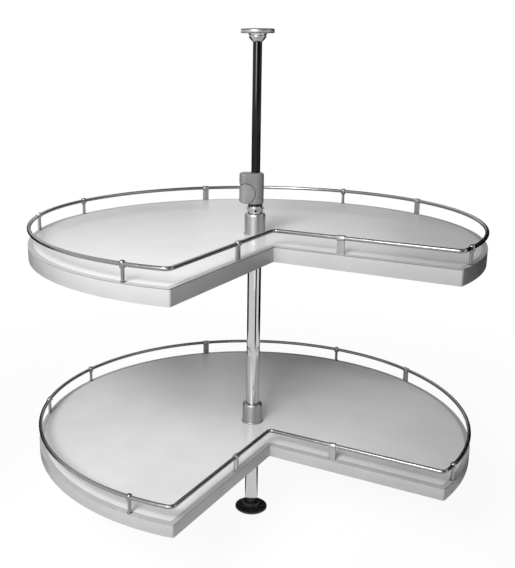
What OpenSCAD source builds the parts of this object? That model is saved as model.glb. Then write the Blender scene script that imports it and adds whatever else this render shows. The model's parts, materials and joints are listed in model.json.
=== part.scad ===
// Corner carousel for a kitchen cabinet: two three-quarter-round trays, each with
// a square notch for the cabinet's corner door, turning on a telescopic pole that
// is clamped between the cabinet's floor and top.
// Millimetres. The origin is on the pole's axis at the underside of the foot and
// +Z is up. The notch of both trays opens towards +X and -Y.

/* [Trays] */
// Radius of each tray
tray_r = 355; // [320:5:400]
// Distance from the pole's axis to each notch edge
notch = 68; // [64:1:80]
// Radius of the two outer corners of the notch
corner_r = 3; // [2:0.5:5]
// Radius at the inner corner of the notch
vertex_r = 2; // [1:0.5:4]
// Width of the moulded rim round the board
rim_w = 8; // [6:0.5:9]
// Height of the lower tray's top face
lower_z = 165; // [150:1:200]
// Thickness of the lower tray
lower_t = 20; // [18:1:25]
// Height of the upper tray's top face
upper_z = 488; // [450:1:488]
// Thickness of the upper tray
upper_t = 24; // [18:1:26]

/* [Gallery rails] */
// Diameter of the rail
rail_d = 6; // [5:0.5:7]
// Height of the rail's centre above the tray
rail_h = 23.5; // [18:0.5:40]
// Distance of the rail's centre from the tray's edge
rail_inset = 3; // [2.5:0.5:4]
// Bend radius of the rail at the two outer corners of the notch
rail_corner_r = 9; // [8:0.5:11]
// Bend radius of the rail at the inner corner of the notch
rail_vertex_r = 7; // [6:0.5:9]
// Width of a flat strip post
strip_w = 11; // [8:1:16]
// Thickness of a flat strip post
strip_t = 2.5; // [2:0.5:3]
// Diameter of a round pin post
pin_d = 5; // [4:0.5:5]
// Depth of the post sockets in the rim
socket_depth = 10; // [6:1:14]

/* [Hubs and collars] */
// Outer diameter of a tray's hub
hub_d = 33; // [31:1:40]
// Height of a hub above its tray
hub_h = 35; // [30:1:35]
// Diameter of the hub's flange under the board
flange_d = 100; // [80:2:120]
// Thickness of the hub's flange
flange_t = 3; // [2:0.5:4]
// Diameter of a support collar
collar_d = 34; // [32:1:40]
// Height of a support collar
collar_h = 18; // [14:1:22]

/* [Pole] */
// Overall height, set by how far the inner rod is drawn out
total_h = 800; // [760:5:820]
// Outer diameter of the lower tube
tube_d = 22; // [22:0.5:24]
// Bore of the lower tube
tube_bore = 19; // [18.5:0.5:20]
// Height of the lower tube's top end
tube_top = 533; // [533:1:540]
// Diameter of the inner rod
rod_d = 14; // [13:0.5:14]
// Bore of the inner rod
rod_bore = 11; // [9:0.5:11]
// Radial running clearance of everything that turns or slides
run_gap = 0.05; // [0.03:0.01:0.08]

/* [Foot and top plate] */
// Diameter of the foot
foot_d = 55; // [50:1:65]
// Height of the foot's rim
foot_rim_h = 6; // [5:0.5:7]
// Height of the foot's dome where it meets the tube
foot_dome_h = 13; // [12:0.5:15]
// Diameter of the circle of screw holes in the foot
foot_pcd = 40; // [40:1:42]
// Diameter of the top plate
plate_d = 51; // [48:1:60]
// Diameter of the circle of screw holes in the top plate
plate_pcd = 37; // [36:1:37]
// Diameter of the screw holes in the foot and the top plate
screw_hole_d = 4.5; // [4:0.5:5]

/* [Clamp] */
// Direction in which the clamp housing reaches out from the pole
clamp_az = 215; // [180:5:260]
// Height of the clamp housing
clamp_h = 48; // [46:1:52]
// Half the thickness of the clamp housing
clamp_half = 13; // [13:0.5:14]
// Reach of the clamp housing from the pole's axis
clamp_reach = 25; // [25:0.5:26]

/* [Hidden] */
$fn = 96;
eps = 1;

chrome = [0.78, 0.79, 0.8];
board_grey = [0.86, 0.86, 0.86];
rim_grey = [0.74, 0.74, 0.74];
metal_grey = [0.66, 0.66, 0.67];
clamp_grey = [0.58, 0.58, 0.58];
lever_grey = [0.62, 0.62, 0.62];
black = [0.08, 0.08, 0.08];
natural = [0.9, 0.89, 0.85];
steel = [0.55, 0.56, 0.58];

tube_r = tube_d / 2;
rod_r = rod_d / 2;

// Plan of a tray and its rail
vertex_c = notch + vertex_r;
rail_r = tray_r - rail_inset;
rail_line = notch - rail_inset;
rail_corner = corner_centre(rail_inset, rail_corner_r);
rail_corner_az = atan2(rail_corner.y, rail_corner.x);
rail_vertex_c = rail_line + rail_vertex_r;
bend_swell = 0.03;
bend_overlap = 0.5;
strip_angles = [62, 134, 205];
pin_angles = [-6, 89, 179, 270];
notch_post_shift = 38.5;
notch_post = (tray_r + notch) / 2 - notch_post_shift;
strip_clip_wall = 1.4;
strip_clip_r = rail_d / 2 + strip_clip_wall;
pin_head_r = 4.2;
pin_head_low = -4.5;
pin_head_high = 3.5;
pin_neck_z = -6.2;
pin_cap_r = 2.6;
pin_cap_z = 5;
pin_bore_half = 2;

// Hub, bushes and collar stack below a tray
hub_r = hub_d / 2;
hub_round = 5;
hub_bore_r = tube_r + 2;
hub_lip = 3;
hub_lip_r = tube_r + 0.5;
trim_r = hub_r + 1.5;
trim_h = 2.5;
trim_chamfer = 0.8;
bush_h = 12;
bush_bore_r = tube_r + run_gap;
washer_t = 2;
washer_r = 18;
collar_chamfer = 1;
grub_r = 2.5;
grub_tip = 0.3;
grub_key_r = 1.5;
grub_key_h = 2;
grub_sink = 0.6;
screw_count = 4;
screw_inset = 13;
screw_ring_r = flange_d / 2 - screw_inset;
screw_turn = 45;
screw_r = 1.75;
screw_head_r = 3.6;
screw_head_h = 2;
screw_len = 12;
key_depth = 1.2;

// Foot
foot_r = foot_d / 2;
foot_socket_z = 6;
foot_edge_in = 3;
foot_edge_z = 2.5;
foot_chamfer = 1;
foot_hole_count = 3;
foot_bolt_r = 4;
foot_bolt_head_r = 8;
foot_bolt_head_h = 4;
foot_bolt_z = 1;
foot_bolt_play = 0.8;
foot_bolt_key_r = 2.9;
foot_bolt_key_h = 2;
foot_bolt_top = 34;
foot_plug_top = 40;
dome_r = tube_r + 2.5;
dome_skirt = [5, 2.2];
dome_neck = [1.2, 4];
dome_lip = 0.6;

// Top of the pole
pad_t = 1.5;
plate_t = 4.5;
plate_z = total_h - pad_t - plate_t;
plate_r = plate_d / 2;
cup_h = 12;
cup_z = plate_z - cup_h;
cup_r = 14;
cup_nose = 0.7;
cup_throat = [2.5, 1.5];
cup_cone = [1, 5.5];
cup_rim = [0.5, 7.5];
rod_sink = 4;
rod_top = plate_z - rod_sink;
top_screw_r = 3;
top_screw_head_r = 6;
top_screw_len = 16;
top_screw_key_r = 2;
top_screw_key_h = 2;
plate_hole_count = 3;
plate_hole_turn = 60;
pad_edge = 0.5;
pad_bore_r = top_screw_head_r + 1;
rod_length_below_top = 470;
rod_bottom = total_h - rod_length_below_top;
guide_h = 20;

// Stop ring
ring_neck_h = 4.5;
ring_neck_r = tube_r + 1.4;
ring_flange_h = 2.5;
ring_flange_r = tube_r + 2.2;
ring_drop = 1.5;
ring_z = tube_top - ring_drop - ring_neck_h - ring_flange_h;
ring_lug_r = tube_r + 3.4;
ring_lug_w = 7;
ring_screw_az = 300;
ring_screw_r = 1.2;
ring_screw_head_r = 1.8;
ring_screw_head_h = 1.2;
ring_screw_start = tube_bore / 2 + 0.2;
ring_screw_key_r = 0.9;
ring_screw_key_h = 0.7;

// Clamp, in its own plane: x runs out along clamp_az and y across it
bush_flange_h = 5;
bush_flange_r = tube_r + 0.6;
bush_sleeve_h = 23;
spigot_r = rod_r + 1.5;
spigot_h = 20;
clamp_z = tube_top + bush_flange_h;
clamp_round = 4;
clamp_corner_r = 8;
clamp_corner_x = clamp_reach - clamp_corner_r;
clamp_corner_y = clamp_half - clamp_corner_r;
seam_gap = 0.3;
seam_w = 1.1;
seam_r = 16.5;
seam_x = clamp_reach - 7.5;
seam_z = clamp_z + 16;
pin_x = clamp_reach - 7;
pin_z = clamp_z + 25;
pivot_r = 2;
lever_head_r = 6.4;
cheek_y = 8.7;
pin_end_y = 11.1;
web_x = pin_x + 3.5;
lug_r = 3.1;
lug_y = 4.5;
cam_r = 5;
cam_offset = 1;
cam_y = 4.2;
cam_space_r = 6.5;
jaw_half = 5.5;
jaw_half_h = 7;
jaw_back = pin_x - cam_offset - cam_r - seam_gap;
jaw_play = 0.8;

// ---------- shapes shared by several parts ----------

// Centre of the round of the notch's corner on the -Y side, on a path drawn in by an inset
function corner_centre(inset, round_r) =
    let (x = notch - inset - round_r)
    [x, -sqrt(pow(tray_r - inset - round_r, 2) - pow(x, 2))];

// Plan of a tray, drawn in from its edge by an inset
module tray_outline(inset) {
    n = notch - inset;
    centre = corner_centre(inset, corner_r);
    waste = corner_waste(centre);
    fillet_r = vertex_r + inset;
    difference() {
        circle(r = tray_r - inset);
        translate([n, -tray_r - eps]) square([tray_r, tray_r + eps - n]);
        polygon(waste);
        polygon(across_notch(waste));
    }
    for (c = [centre, [-centre.y, -centre.x]]) translate(c) circle(r = corner_r);
    difference() {
        translate([n - eps, -n - fillet_r]) square([fillet_r + eps, fillet_r + eps]);
        translate([vertex_c, -vertex_c]) circle(r = fillet_r);
    }
}

// What is cut off the sharp corner on the -Y side before its round is put on
function corner_waste(centre) =
    let (reach = 3 * corner_r, az = atan2(centre.y, centre.x))
    [for (p = [[corner_r, 0], [reach, 0], [reach, -reach],
               [reach * cos(az), reach * sin(az)],
               [corner_r * cos(az), corner_r * sin(az)]])
        p + centre];

// Points reflected to the other side of the notch
function across_notch(points) = [for (p = points) [-p.y, -p.x]];

// A profile in the plane of radius and height, turned along the round edge
module along_edge(from, sweep) {
    rotate_extrude(start = from, angle = sweep) translate([rail_r, 0]) children();
}

// The same profile, run straight along the notch edge that faces +X
module along_notch(from, length) {
    translate([rail_line, from + length, 0]) rotate([90, 0, 0]) linear_extrude(length) children();
}

// A bend of the rail about a vertical line, swelled a hair where the rod is formed
module rail_bend(radius, from, sweep) {
    rotate_extrude(start = from, angle = sweep)
        translate([radius, 0]) circle(r = rail_d / 2 + bend_swell);
}

module rail_loop() {
    run_on = bend_overlap / rail_r * 180 / PI;
    along_edge(-90 - rail_corner_az - run_on, 450 + 2 * (rail_corner_az + run_on)) circle(d = rail_d);
    half_notch_rail();
    mirror([1, 1, 0]) half_notch_rail();
    translate([rail_vertex_c, -rail_vertex_c, 0]) rail_bend(rail_vertex_r, 90, 90);
}

// One straight run of the rail with its outer bend
module half_notch_rail() {
    translate([rail_corner.x, rail_corner.y, 0])
        rail_bend(rail_corner_r, rail_corner_az, -rail_corner_az);
    along_notch(rail_corner.y - bend_overlap, 2 * bend_overlap - rail_vertex_c - rail_corner.y)
        circle(d = rail_d);
}

// Flat strip post with the clip that goes round the rail
module strip_profile() {
    difference() {
        union() {
            circle(r = strip_clip_r);
            translate([-strip_t / 2, -rail_h - socket_depth])
                square([strip_t, rail_h + socket_depth]);
        }
        circle(d = rail_d);
    }
}

module strip_post_set() {
    sweep = strip_w / rail_r * 180 / PI;
    for (a = strip_angles) along_edge(a - sweep / 2, sweep) strip_profile();
    along_notch(-notch_post - strip_w / 2, strip_w) strip_profile();
    mirror([1, 1, 0]) along_notch(-notch_post - strip_w / 2, strip_w) strip_profile();
}

// Feet of the strip posts, which cut their own sockets in the rim
module strip_foot_profile() {
    translate([-strip_t / 2, -rail_h - socket_depth]) square([strip_t, socket_depth + eps]);
}

module strip_socket_set() {
    sweep = strip_w / rail_r * 180 / PI;
    for (a = strip_angles) along_edge(a - sweep / 2, sweep) strip_foot_profile();
    along_notch(-notch_post - strip_w / 2, strip_w) strip_foot_profile();
    mirror([1, 1, 0]) along_notch(-notch_post - strip_w / 2, strip_w) strip_foot_profile();
}

module pin_places() {
    for (a = pin_angles) rotate([0, 0, a]) translate([rail_r, 0, 0]) children();
}

// Round pin post with a turned head, bored for the rail
module pin_post_set() {
    difference() {
        pin_places() rotate_extrude()
            polygon([[0, -rail_h - socket_depth], [pin_d / 2, -rail_h - socket_depth],
                     [pin_d / 2, pin_neck_z], [pin_head_r, pin_head_low], [pin_head_r, pin_head_high],
                     [pin_cap_r, pin_cap_z], [0, pin_cap_z]]);
        for (a = pin_angles) along_edge(a - pin_bore_half, 2 * pin_bore_half) circle(d = rail_d);
    }
}

// Ring with an outer and an inner radius
module ring(outer, inner, height) {
    difference() {
        cylinder(r = outer, h = height);
        translate([0, 0, -eps]) cylinder(r = inner, h = height + 2 * eps);
    }
}

module around(count, radius) {
    for (i = [0 : count - 1]) rotate([0, 0, i * 360 / count]) translate([radius, 0, 0]) children();
}

// ---------- one tray, its hub and its collar ----------

module tray_board(top, thick) {
    translate([0, 0, top - thick]) difference() {
        linear_extrude(thick) tray_outline(rim_w);
        translate([0, 0, -eps]) cylinder(r = hub_r, h = thick + 2 * eps);
        rotate([0, 0, screw_turn]) around(screw_count, screw_ring_r)
            translate([0, 0, -eps]) cylinder(r = screw_r, h = screw_len - flange_t + eps);
    }
}

module tray_rim(top, thick) {
    difference() {
        translate([0, 0, top - thick]) linear_extrude(thick) difference() {
            tray_outline(0);
            tray_outline(rim_w);
        }
        translate([0, 0, top + rail_h]) strip_socket_set();
        translate([0, 0, top - socket_depth]) pin_places() cylinder(d = pin_d, h = socket_depth + eps);
    }
}

module tray_rail(top) {
    translate([0, 0, top + rail_h]) rail_loop();
}

// Hub with a rounded top lip and the flange that carries the board
module tray_hub(top, thick) {
    under = -thick;
    translate([0, 0, top]) difference() {
        rotate_extrude() difference() {
            union() {
                translate([0, under - flange_t]) square([flange_d / 2, flange_t]);
                translate([0, under - flange_t]) square([hub_r, hub_h - hub_round - under + flange_t]);
                translate([0, under - flange_t]) square([hub_r - hub_round, hub_h - under + flange_t]);
                translate([hub_r - hub_round, hub_h - hub_round]) circle(r = hub_round);
            }
            translate([-eps, under - flange_t - eps])
                square([hub_bore_r + eps, hub_h - hub_lip - under + flange_t + eps]);
            translate([-eps, 0]) square([hub_lip_r + eps, hub_h + eps]);
            translate([-2 * hub_round, under]) square([2 * hub_round, 2 * hub_h + thick]);
        }
        rotate([0, 0, screw_turn]) around(screw_count, screw_ring_r)
            translate([0, 0, under - flange_t - eps]) cylinder(r = screw_r, h = flange_t + 2 * eps);
    }
}

// Two plain bushes pressed into the ends of the hub's bore
module tray_bushes(top, thick) {
    for (z = [-thick - flange_t, hub_h - hub_lip - bush_h])
        translate([0, 0, top + z]) ring(hub_bore_r, bush_bore_r, bush_h);
}

// Ring pressed over the hub, which covers the edge of the hole in the board
module hub_trim(top) {
    translate([0, 0, top]) rotate_extrude()
        polygon([[hub_r, 0], [trim_r, 0], [trim_r, trim_h - trim_chamfer], [trim_r - trim_chamfer, trim_h],
                 [hub_r, trim_h]]);
}

module tray_screws(top, thick) {
    translate([0, 0, top - thick - flange_t]) rotate([0, 0, screw_turn]) around(screw_count, screw_ring_r)
        difference() {
            union() {
                cylinder(r = screw_r, h = screw_len);
                translate([0, 0, -screw_head_h]) cylinder(r = screw_head_r, h = screw_head_h);
            }
            translate([0, 0, -screw_head_h - eps]) cylinder(r = grub_key_r, h = key_depth + eps, $fn = 6);
        }
}

// Collar that is set on the tube by its grub screw and carries the tray
module support_collar(top, thick) {
    translate([0, 0, top - thick - flange_t - washer_t - collar_h]) difference() {
        rotate_extrude() polygon([[bush_bore_r, 0], [collar_d / 2 - collar_chamfer, 0],
                                  [collar_d / 2, collar_chamfer], [collar_d / 2, collar_h - collar_chamfer],
                                  [collar_d / 2 - collar_chamfer, collar_h], [bush_bore_r, collar_h]]);
        collar_grub_place() cylinder(r = grub_r, h = collar_d);
    }
}

module collar_grub_place() {
    rotate([0, 0, ring_screw_az]) translate([tube_r + grub_tip, 0, collar_h / 2])
        rotate([0, 90, 0]) children();
}

module collar_grub(top, thick) {
    grub_len = collar_d / 2 - tube_r - grub_tip - grub_sink;
    translate([0, 0, top - thick - flange_t - washer_t - collar_h]) collar_grub_place() difference() {
        cylinder(r = grub_r, h = grub_len);
        translate([0, 0, grub_len - grub_key_h]) cylinder(r = grub_key_r, h = grub_key_h + eps, $fn = 6);
    }
}

module thrust_washer(top, thick) {
    translate([0, 0, top - thick - flange_t - washer_t]) ring(washer_r, hub_lip_r, washer_t);
}

// ---------- foot ----------

module foot_disc() {
    color(black) difference() {
        rotate_extrude() difference() {
            polygon([[0, 0], [foot_r - foot_edge_in, 0], [foot_r, foot_edge_z],
                     [foot_r, foot_rim_h - foot_chamfer], [foot_r - foot_chamfer, foot_rim_h],
                     [dome_r + dome_skirt.x, foot_rim_h + dome_skirt.y],
                     [dome_r + dome_neck.x, foot_rim_h + dome_neck.y],
                     [dome_r, foot_dome_h - dome_lip], [dome_r - dome_lip, foot_dome_h], [0, foot_dome_h]]);
            translate([-eps, foot_socket_z]) square([tube_r + eps, foot_dome_h]);
            translate([-eps, -eps]) square([foot_bolt_r + eps, foot_dome_h]);
            translate([-eps, -eps]) square([foot_bolt_head_r + eps, foot_bolt_head_h + eps]);
        }
        around(foot_hole_count, foot_pcd / 2)
            translate([0, 0, -eps]) cylinder(d = screw_hole_d, h = foot_dome_h);
    }
}

// Bolt that draws the foot against the plug in the tube
module foot_bolt() {
    color(steel) difference() {
        union() {
            translate([0, 0, foot_bolt_z])
                cylinder(r = foot_bolt_head_r - foot_bolt_play, h = foot_bolt_head_h - foot_bolt_z);
            translate([0, 0, foot_bolt_z]) cylinder(r = foot_bolt_r, h = foot_bolt_top - foot_bolt_z);
        }
        translate([0, 0, foot_bolt_z - eps])
            cylinder(r = foot_bolt_key_r, h = foot_bolt_key_h + eps, $fn = 6);
    }
}

module foot_plug() {
    color(natural) translate([0, 0, foot_socket_z])
        ring(tube_bore / 2, foot_bolt_r, foot_plug_top - foot_socket_z);
}

// ---------- pole and stop ring ----------

module pole_tube() {
    color(chrome) difference() {
        translate([0, 0, foot_socket_z]) ring(tube_r, tube_bore / 2, tube_top - foot_socket_z);
        ring_screw_place() cylinder(r = ring_screw_r, h = tube_r);
    }
}

module tube_top_bush() {
    color(black) translate([0, 0, tube_top]) {
        ring(bush_flange_r, spigot_r, bush_flange_h);
        translate([0, 0, -bush_sleeve_h]) ring(tube_bore / 2, spigot_r, bush_sleeve_h);
    }
}

module ring_screw_place() {
    rotate([0, 0, ring_screw_az]) translate([ring_screw_start, 0, ring_z + ring_neck_h / 2])
        rotate([0, 90, 0]) children();
}

module stop_ring() {
    color(metal_grey) difference() {
        translate([0, 0, ring_z]) {
            linear_extrude(ring_neck_h) difference() {
                circle(r = ring_neck_r);
                circle(r = tube_r);
            }
            translate([0, 0, ring_neck_h]) linear_extrude(ring_flange_h) difference() {
                union() {
                    circle(r = ring_flange_r);
                    rotate(ring_screw_az + 90) square([2 * ring_lug_r, ring_lug_w], center = true);
                }
                circle(r = tube_r);
            }
        }
        ring_screw_place() cylinder(r = ring_screw_r, h = tube_r);
    }
}

module stop_ring_screw() {
    shank = ring_neck_r - ring_screw_start;
    color(black) ring_screw_place() difference() {
        union() {
            cylinder(r = ring_screw_r, h = shank);
            translate([0, 0, shank]) cylinder(r = ring_screw_head_r, h = ring_screw_head_h);
        }
        translate([0, 0, shank + ring_screw_head_h - ring_screw_key_h])
            cylinder(r = ring_screw_key_r, h = ring_screw_key_h + eps, $fn = 6);
    }
}

// ---------- clamp ----------

module in_clamp() {
    rotate([0, 0, clamp_az]) children();
}

// A side view in the plane of reach and height, made into a plate across the clamp
module across(from, to) {
    translate([0, to, 0]) rotate([90, 0, 0]) linear_extrude(to - from) children();
}

module both_sides() {
    children();
    mirror([0, 1, 0]) children();
}

// Plan of the housing: round about the pole, with rounded corners at the far end
module clamp_plan() {
    circle(r = clamp_half);
    translate([0, -clamp_half]) square([clamp_corner_x, 2 * clamp_half]);
    translate([clamp_corner_x, -clamp_corner_y]) square([clamp_corner_r, 2 * clamp_corner_y]);
    for (side = [-1, 1]) translate([clamp_corner_x, side * clamp_corner_y]) circle(r = clamp_corner_r);
}

// Profile of a round piece of the housing with a rounded top edge
module rounded_puck(radius, height) {
    rotate_extrude() difference() {
        union() {
            square([radius, height - clamp_round]);
            square([radius - clamp_round, height]);
            translate([radius - clamp_round, height - clamp_round]) circle(r = clamp_round);
        }
        translate([-2 * radius, -height]) square([2 * radius, 3 * height]);
    }
}

// Cross-section with rounded top edges, as wide as 2 * half
module rounded_section(half, height) {
    translate([-half, 0]) square([2 * half, height - clamp_round]);
    translate([clamp_round - half, 0]) square([2 * (half - clamp_round), height]);
    for (side = [-1, 1])
        translate([side * (half - clamp_round), height - clamp_round]) circle(r = clamp_round);
}

module clamp_shell() {
    translate([0, 0, clamp_z]) {
        rounded_puck(clamp_half, clamp_h);
        rotate([90, 0, 90]) linear_extrude(clamp_corner_x) rounded_section(clamp_half, clamp_h);
        for (side = [-1, 1]) translate([clamp_corner_x, side * clamp_corner_y, 0])
            rounded_puck(clamp_corner_r, clamp_h);
        translate([0, clamp_corner_y, 0]) rotate([90, 0, 0]) linear_extrude(2 * clamp_corner_y)
            difference() {
                rounded_section(clamp_reach, clamp_h);
                translate([-2 * clamp_reach, -eps]) square([2 * clamp_reach, clamp_h + 2 * eps]);
            }
    }
}

// Side view of the space that the lever fills and swings through
module lever_space() {
    translate([seam_x, seam_z]) circle(r = seam_r);
    translate([seam_x, clamp_z - eps]) square([clamp_reach, seam_z - clamp_z + eps]);
}

module clamp_body() {
    side_y = cheek_y - seam_gap;
    color(clamp_grey) in_clamp() difference() {
        union() {
            clamp_shell();
            translate([0, 0, clamp_z - spigot_h]) cylinder(r = spigot_r, h = spigot_h + eps);
        }
        both_sides() across(side_y, 2 * clamp_half) lever_space();
        across(-side_y, side_y) difference() {
            lever_space();
            translate([-clamp_reach, clamp_z - eps]) square([clamp_reach + pin_x, clamp_h]);
            translate([pin_x, pin_z]) circle(r = lug_r);
        }
        across(-lug_y, lug_y) translate([pin_x, pin_z]) circle(r = cam_space_r);
        across(-jaw_half - seam_gap, jaw_half + seam_gap)
            translate([0, pin_z - jaw_half_h - seam_gap])
                square([jaw_back + jaw_play + 2 * seam_gap, 2 * (jaw_half_h + seam_gap)]);
        translate([0, 0, clamp_z - spigot_h - eps])
            cylinder(r = rod_r + run_gap, h = clamp_h + spigot_h + 2 * eps);
        across(-clamp_half, clamp_half) translate([pin_x, pin_z]) circle(r = pivot_r);
    }
}

module clamp_pin() {
    color(steel) in_clamp() across(-pin_end_y, pin_end_y)
        translate([pin_x, pin_z]) circle(r = pivot_r);
}

// Outline of the lever from the side: the seam's curve, and a round head about the pin
module lever_side() {
    difference() {
        translate([seam_x, seam_z]) circle(r = seam_r - seam_w);
        translate([pin_x, pin_z]) square(clamp_reach);
    }
    translate([pin_x, pin_z]) circle(r = lever_head_r);
}

module clamp_lever() {
    color(lever_grey) in_clamp() difference() {
        union() {
            intersection() {
                translate([0, 0, clamp_z]) linear_extrude(clamp_h) clamp_plan();
                across(-clamp_half, clamp_half) lever_side();
                union() {
                    both_sides() across(cheek_y, 2 * clamp_half) translate([0, clamp_z]) square(clamp_h);
                    across(-clamp_half, clamp_half) translate([web_x, clamp_z])
                        square([clamp_reach, pin_z - clamp_z]);
                }
            }
            across(-cam_y, cam_y) {
                translate([pin_x - cam_offset, pin_z]) circle(r = cam_r);
                translate([pin_x, pin_z - cam_r + cam_offset])
                    square([web_x - pin_x + eps, cam_r - cam_offset]);
            }
        }
        across(-2 * clamp_half, 2 * clamp_half) translate([pin_x, pin_z]) circle(r = pivot_r + run_gap);
    }
}

// Jaw that the lever's cam presses against the rod
module clamp_jaw() {
    color(metal_grey) in_clamp() difference() {
        across(-jaw_half, jaw_half) translate([0, pin_z - jaw_half_h]) square([jaw_back, 2 * jaw_half_h]);
        translate([0, 0, clamp_z]) cylinder(r = rod_r + seam_gap, h = clamp_h);
    }
}

// ---------- inner rod and top plate ----------

module rod_tube() {
    color(black) translate([0, 0, rod_bottom]) ring(rod_r, rod_bore / 2, rod_top - rod_bottom);
}

// Sleeve that centres the rod's lower end in the tube
module rod_guide() {
    color(natural) translate([0, 0, rod_bottom]) ring(tube_bore / 2 - run_gap, rod_r, guide_h);
}

module top_cup() {
    color(chrome) translate([0, 0, cup_z]) difference() {
        rotate_extrude()
            polygon([[0, 0], [rod_r + cup_nose, 0], [rod_r + cup_throat.x, cup_throat.y],
                     [cup_r - cup_cone.x, cup_cone.y], [cup_r - cup_rim.x, cup_rim.y],
                     [cup_r, cup_h], [0, cup_h]]);
        translate([0, 0, -eps]) cylinder(r = rod_r, h = rod_top - cup_z + eps);
        cylinder(r = top_screw_r, h = cup_h + eps);
    }
}

module top_plate() {
    color(metal_grey) translate([0, 0, plate_z]) difference() {
        cylinder(r = plate_r, h = plate_t);
        translate([0, 0, -eps]) cylinder(r = top_screw_r, h = plate_t + 2 * eps);
        translate([0, 0, plate_t - top_screw_r])
            cylinder(r1 = top_screw_r, r2 = top_screw_head_r, h = top_screw_r);
        rotate([0, 0, plate_hole_turn]) around(plate_hole_count, plate_pcd / 2)
            translate([0, 0, -eps]) cylinder(d = screw_hole_d, h = plate_t + 2 * eps);
    }
}

module top_screw() {
    color(steel) translate([0, 0, plate_z + plate_t - top_screw_len]) difference() {
        union() {
            cylinder(r = top_screw_r, h = top_screw_len);
            translate([0, 0, top_screw_len - top_screw_r])
                cylinder(r1 = top_screw_r, r2 = top_screw_head_r, h = top_screw_r);
        }
        translate([0, 0, top_screw_len - top_screw_key_h])
            cylinder(r = top_screw_key_r, h = top_screw_key_h + eps, $fn = 6);
    }
}

// Anti-slip pad that bears on the cabinet's top
module top_pad() {
    color(black) translate([0, 0, total_h - pad_t]) difference() {
        ring(plate_r - pad_edge, pad_bore_r, pad_t);
        rotate([0, 0, plate_hole_turn]) around(plate_hole_count, plate_pcd / 2)
            translate([0, 0, -eps]) cylinder(d = screw_hole_d, h = pad_t + 2 * eps);
    }
}

// ---------- lower tray ----------

module lower_collar() color(metal_grey) support_collar(lower_z, lower_t);
module lower_collar_screw() color(steel) collar_grub(lower_z, lower_t);
module lower_thrust_washer() color(natural) thrust_washer(lower_z, lower_t);
module lower_board() color(board_grey) tray_board(lower_z, lower_t);
module lower_rim() color(rim_grey) tray_rim(lower_z, lower_t);
module lower_rail() color(chrome) tray_rail(lower_z);
module lower_strip_posts() color(chrome) translate([0, 0, lower_z + rail_h]) strip_post_set();
module lower_pin_posts() color(chrome) translate([0, 0, lower_z + rail_h]) pin_post_set();
module lower_hub() color(metal_grey) tray_hub(lower_z, lower_t);
module lower_hub_trim() color(metal_grey) hub_trim(lower_z);
module lower_hub_bushes() color(natural) tray_bushes(lower_z, lower_t);
module lower_flange_screws() color(steel) tray_screws(lower_z, lower_t);

// ---------- upper tray ----------

module upper_collar() color(metal_grey) support_collar(upper_z, upper_t);
module upper_collar_screw() color(steel) collar_grub(upper_z, upper_t);
module upper_thrust_washer() color(natural) thrust_washer(upper_z, upper_t);
module upper_board() color(board_grey) tray_board(upper_z, upper_t);
module upper_rim() color(rim_grey) tray_rim(upper_z, upper_t);
module upper_rail() color(chrome) tray_rail(upper_z);
module upper_strip_posts() color(chrome) translate([0, 0, upper_z + rail_h]) strip_post_set();
module upper_pin_posts() color(chrome) translate([0, 0, upper_z + rail_h]) pin_post_set();
module upper_hub() color(metal_grey) tray_hub(upper_z, upper_t);
module upper_hub_trim() color(metal_grey) hub_trim(upper_z);
module upper_hub_bushes() color(natural) tray_bushes(upper_z, upper_t);
module upper_flange_screws() color(steel) tray_screws(upper_z, upper_t);

foot_disc();
foot_bolt();
foot_plug();
pole_tube();
tube_top_bush();
clamp_body();
clamp_pin();
clamp_lever();
clamp_jaw();
stop_ring();
stop_ring_screw();
rod_tube();
rod_guide();
top_cup();
top_plate();
top_screw();
top_pad();
lower_collar();
lower_collar_screw();
lower_thrust_washer();
lower_board();
lower_rim();
lower_rail();
lower_strip_posts();
lower_pin_posts();
lower_hub();
lower_hub_trim();
lower_hub_bushes();
lower_flange_screws();
upper_collar();
upper_collar_screw();
upper_thrust_washer();
upper_board();
upper_rim();
upper_rail();
upper_strip_posts();
upper_pin_posts();
upper_hub();
upper_hub_trim();
upper_hub_bushes();
upper_flange_screws();
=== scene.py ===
"""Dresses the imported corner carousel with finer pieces, its finishes and a plain studio.

Everything is in metres, in the frame of the CAD model: the origin is on the pole's axis
under the foot, +Z is up, and the notch of both trays opens towards +X and -Y.
"""

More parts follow.
